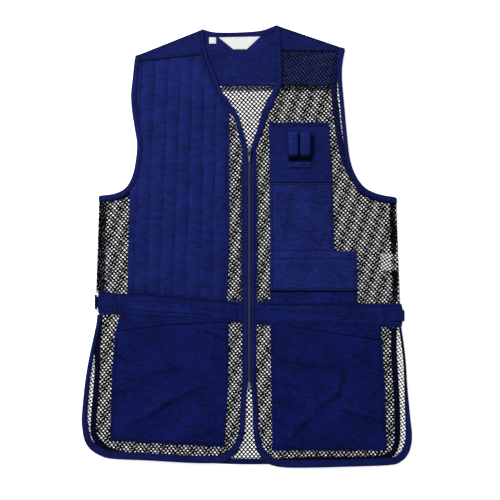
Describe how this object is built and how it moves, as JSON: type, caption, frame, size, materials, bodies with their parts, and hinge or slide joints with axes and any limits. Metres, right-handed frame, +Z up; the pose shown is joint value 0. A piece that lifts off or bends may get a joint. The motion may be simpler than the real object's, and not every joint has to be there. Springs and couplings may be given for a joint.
{
  "type": "shooting vest",
  "caption": "Sleeveless mesh shooting vest laid flat: quilted shoulder pad, bound edges, front zip, chest and lower patch pockets, shell loops and waist straps.",
  "frame": {"origin": "middle of the laid garment's box, on the surface that it lies on", "axes": "+Y towards the collar, +X towards the wearer's left side, +Z up through the front"},
  "size_m": [0.577, 0.774, 0.0185],
  "materials": {
    "mesh": "open black polyester warp-knit net",
    "cloth": "matt royal-navy polyester-cotton twill",
    "binding": "navy woven binding tape with twin stitching",
    "elastic": "ribbed woven navy elastic",
    "webbing": "narrow black woven webbing",
    "label": "satin-woven blank label",
    "zip": "woven tape and moulded teeth",
    "metal": "painted zinc die casting"
  },
  "bodies": {
    "vest": {"back_mesh_upper": "mesh", "back_mesh_lower": "mesh", "front_mesh_upper_right": "mesh", "front_mesh_upper_left": "mesh", "front_mesh_lower_right": "mesh", "front_mesh_lower_left": "mesh", "yoke": "cloth", "back_waistband": "cloth", "waistband_right": "cloth", "waistband_left": "cloth", "quilt_pad": "cloth", "pocket_back_right": "cloth", "pocket_front_right": "cloth", "pocket_back_left": "cloth", "pocket_front_left": "cloth", "chest_patch": "cloth", "chest_pocket": "cloth", "flap_pocket_body": "cloth", "pocket_flap": "cloth", "armhole_binding_right": "binding", "armhole_binding_left": "binding", "neck_binding_right": "binding", "neck_binding_left": "binding", "hem_binding_right": "binding", "hem_binding_left": "binding", "back_hem_binding": "binding", "back_neck_band": "binding", "placket_right": "binding", "placket_left": "binding", "waist_strap_right": "binding", "waist_strap_left": "binding", "shell_loop_1": "elastic", "shell_loop_2": "elastic", "loop_base": "elastic", "strap_keeper_right": "webbing", "neck_label": "label", "size_label": "label", "care_label": "label", "zip_tape_right": "zip", "zip_tape_left": "zip", "zip_chain": "zip", "zip_slider": "metal", "zip_box": "metal"},
    "zip_pull": {"zip_pull": "metal"}
  },
  "joints": [
    {"name": "pull_swing", "type": "hinge", "parent": "vest", "child": "zip_pull", "pos_m": [0.0043, 0.16709, 0.00878], "axis": [-1, 0, 0], "range_deg": [0, 165]}
  ]
}
